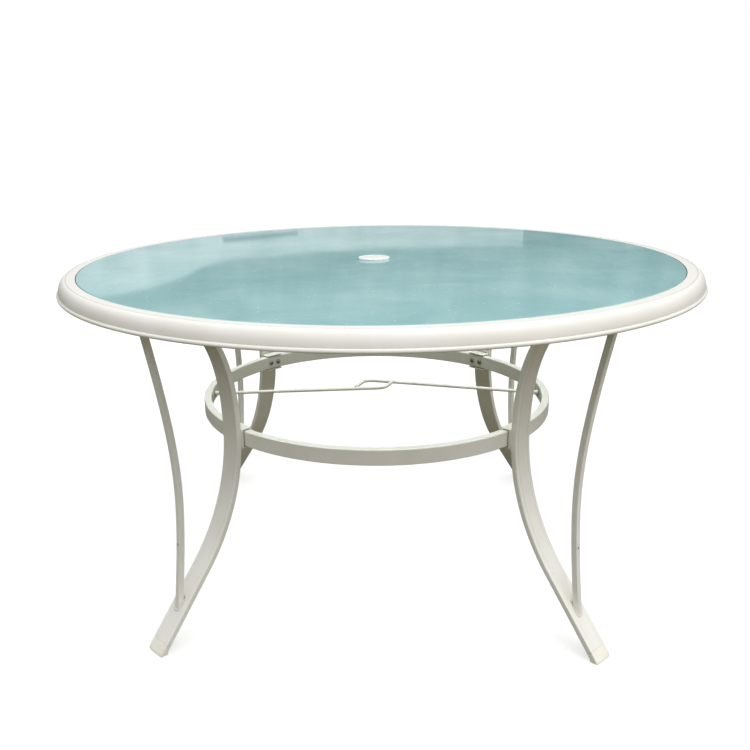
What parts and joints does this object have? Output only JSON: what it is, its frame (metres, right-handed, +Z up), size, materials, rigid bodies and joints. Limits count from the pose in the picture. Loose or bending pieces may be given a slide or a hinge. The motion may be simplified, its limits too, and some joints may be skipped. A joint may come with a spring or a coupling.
{
  "type": "umbrella table",
  "caption": "Round patio table with a frosted glass top in a rolled metal rim, a capped umbrella hole, bowed legs with slim outer bars, a brace ring and a bent-rod umbrella guide.",
  "frame": {"origin": "on the floor under the centre of the glass top", "axes": "+Z up; the guide rods run along X; the legs stand on the diagonals between X and Y"},
  "size_m": [1.3716, 1.3716, 0.7266],
  "materials": {
    "frame_paint": "semi-gloss off-white powder coat",
    "frosted_glass": "aqua tempered glass with a fine pebbled underside",
    "gasket_rubber": "matt light grey vinyl",
    "foot_plastic": "matt cream moulded plastic",
    "cap_plastic": "smooth white moulded plastic",
    "bolt_steel": "bright zinc-plated steel"
  },
  "bodies": {
    "table": {"rim": "frame_paint", "glazing_gasket": "gasket_rubber", "glass_top": "frosted_glass", "umbrella_ring": "cap_plastic", "brace_ring": "frame_paint", "main_leg_back_right": "frame_paint", "outer_bar_back_right": "frame_paint", "foot_cap_back_right": "foot_plastic", "leg_plug_back_right": "foot_plastic", "ring_bracket_back_right": "frame_paint", "ring_bolt_back_right_a": "bolt_steel", "rim_bolt_back_right_a": "bolt_steel", "rim_nut_back_right_a": "bolt_steel", "ring_bolt_back_right_b": "bolt_steel", "rim_bolt_back_right_b": "bolt_steel", "rim_nut_back_right_b": "bolt_steel", "main_leg_back_left": "frame_paint", "outer_bar_back_left": "frame_paint", "foot_cap_back_left": "foot_plastic", "leg_plug_back_left": "foot_plastic", "ring_bracket_back_left": "frame_paint", "ring_bolt_back_left_a": "bolt_steel", "rim_bolt_back_left_a": "bolt_steel", "rim_nut_back_left_a": "bolt_steel", "ring_bolt_back_left_b": "bolt_steel", "rim_bolt_back_left_b": "bolt_steel", "rim_nut_back_left_b": "bolt_steel", "main_leg_front_left": "frame_paint", "outer_bar_front_left": "frame_paint", "foot_cap_front_left": "foot_plastic", "leg_plug_front_left": "foot_plastic", "ring_bracket_front_left": "frame_paint", "ring_bolt_front_left_a": "bolt_steel", "rim_bolt_front_left_a": "bolt_steel", "rim_nut_front_left_a": "bolt_steel", "ring_bolt_front_left_b": "bolt_steel", "rim_bolt_front_left_b": "bolt_steel", "rim_nut_front_left_b": "bolt_steel", "main_leg_front_right": "frame_paint", "outer_bar_front_right": "frame_paint", "foot_cap_front_right": "foot_plastic", "leg_plug_front_right": "foot_plastic", "ring_bracket_front_right": "frame_paint", "ring_bolt_front_right_a": "bolt_steel", "rim_bolt_front_right_a": "bolt_steel", "rim_nut_front_right_a": "bolt_steel", "ring_bolt_front_right_b": "bolt_steel", "rim_bolt_front_right_b": "bolt_steel", "rim_nut_front_right_b": "bolt_steel", "guide_rod_left": "frame_paint", "guide_hook_left": "frame_paint", "rod_ferrule_left": "frame_paint", "guide_rod_right": "frame_paint", "guide_hook_right": "frame_paint", "rod_ferrule_right": "frame_paint"},
    "hole_cap": {"umbrella_hole_cap": "cap_plastic"}
  },
  "joints": [
    {"name": "cap_lift", "type": "slide", "parent": "table", "child": "hole_cap", "axis": [0, 0, 1], "range_m": [0, 0.06]}
  ]
}
